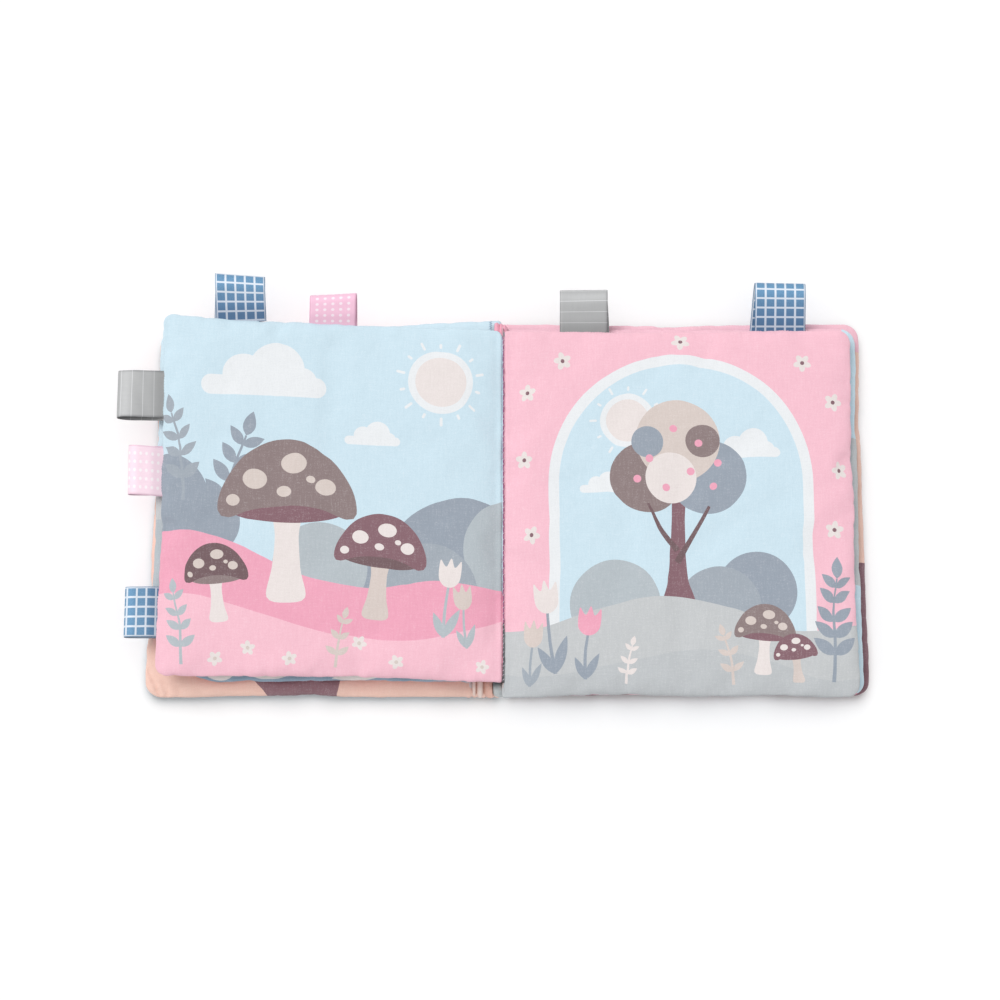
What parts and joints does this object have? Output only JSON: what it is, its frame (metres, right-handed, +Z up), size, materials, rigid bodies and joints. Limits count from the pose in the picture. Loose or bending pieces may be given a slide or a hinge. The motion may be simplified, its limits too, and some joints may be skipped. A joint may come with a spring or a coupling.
{
  "type": "cloth baby book",
  "caption": "Soft stuffed cloth book for a baby, lying open at its middle spread, with turning leaves and folded ribbon loops along its edges.",
  "frame": {"origin": "middle of the flat underside of the cover's spine strip, on the surface the open book lies on", "axes": "+X to the reader's right across the open spread, +Y towards the head of the pages, +Z up out of the open pages"},
  "size_m": [0.3754, 0.213, 0.0248],
  "materials": {
    "page_sky_blue": "matte",
    "page_pink": "matte",
    "page_peach": "matte",
    "page_slate": "matte",
    "page_cream": "matte",
    "cover_slate": "matte",
    "cover_plum": "matte",
    "wadding": "matte",
    "crackle_film": "satin",
    "ribbon_blue_check": "satin",
    "ribbon_pink_dot": "satin",
    "ribbon_grey_stripe": "satin",
    "spine_binding": "matte"
  },
  "bodies": {
    "right_cover": {"right_cover_upper_panel": "page_pink", "right_cover_lower_panel": "cover_plum", "right_cover_wadding": "wadding", "spine_cover_strip": "cover_slate", "spine_binding_tape": "spine_binding"},
    "right_middle_leaf": {"right_middle_leaf_upper_panel": "page_sky_blue", "right_middle_leaf_lower_panel": "page_peach", "right_middle_leaf_wadding": "wadding", "right_middle_leaf_crackle_film": "crackle_film"},
    "right_top_leaf": {"right_top_leaf_upper_panel": "page_pink", "right_top_leaf_lower_panel": "page_sky_blue", "right_top_leaf_wadding": "wadding", "grey_stripe_loop_right_head": "ribbon_grey_stripe", "blue_check_loop_right_head": "ribbon_blue_check"},
    "left_cover": {"left_cover_upper_panel": "page_peach", "left_cover_lower_panel": "cover_slate", "left_cover_wadding": "wadding"},
    "left_middle_leaf": {"left_middle_leaf_upper_panel": "page_slate", "left_middle_leaf_lower_panel": "page_peach", "left_middle_leaf_wadding": "wadding", "left_middle_leaf_crackle_film": "crackle_film"},
    "left_top_leaf": {"left_top_leaf_upper_panel": "page_sky_blue", "left_top_leaf_lower_panel": "page_cream", "left_top_leaf_wadding": "wadding", "blue_check_loop_left_head": "ribbon_blue_check", "pink_dot_loop_left_head": "ribbon_pink_dot", "grey_stripe_loop_left_side": "ribbon_grey_stripe", "pink_dot_loop_left_side": "ribbon_pink_dot", "blue_check_loop_left_side": "ribbon_blue_check"}
  },
  "joints": [
    {"name": "right_middle_leaf_turn", "type": "hinge", "parent": "right_cover", "child": "right_middle_leaf", "pos_m": [0, 0, 0.0253], "axis": [0, -1, 0], "range_deg": [0, 180]},
    {"name": "right_top_leaf_turn", "type": "hinge", "parent": "right_middle_leaf", "child": "right_top_leaf", "pos_m": [0, 0, 0.0253], "axis": [0, -1, 0], "range_deg": [0, 180]},
    {"name": "cover_close", "type": "hinge", "parent": "right_cover", "child": "left_cover", "pos_m": [0, 0, 0.0253], "axis": [0, 1, 0], "range_deg": [0, 180]},
    {"name": "left_middle_leaf_turn", "type": "hinge", "parent": "left_cover", "child": "left_middle_leaf", "pos_m": [0, 0, 0.0253], "axis": [0, 1, 0], "range_deg": [0, 180]},
    {"name": "left_top_leaf_turn", "type": "hinge", "parent": "left_middle_leaf", "child": "left_top_leaf", "pos_m": [0, 0, 0.0253], "axis": [0, 1, 0], "range_deg": [0, 180]}
  ]
}
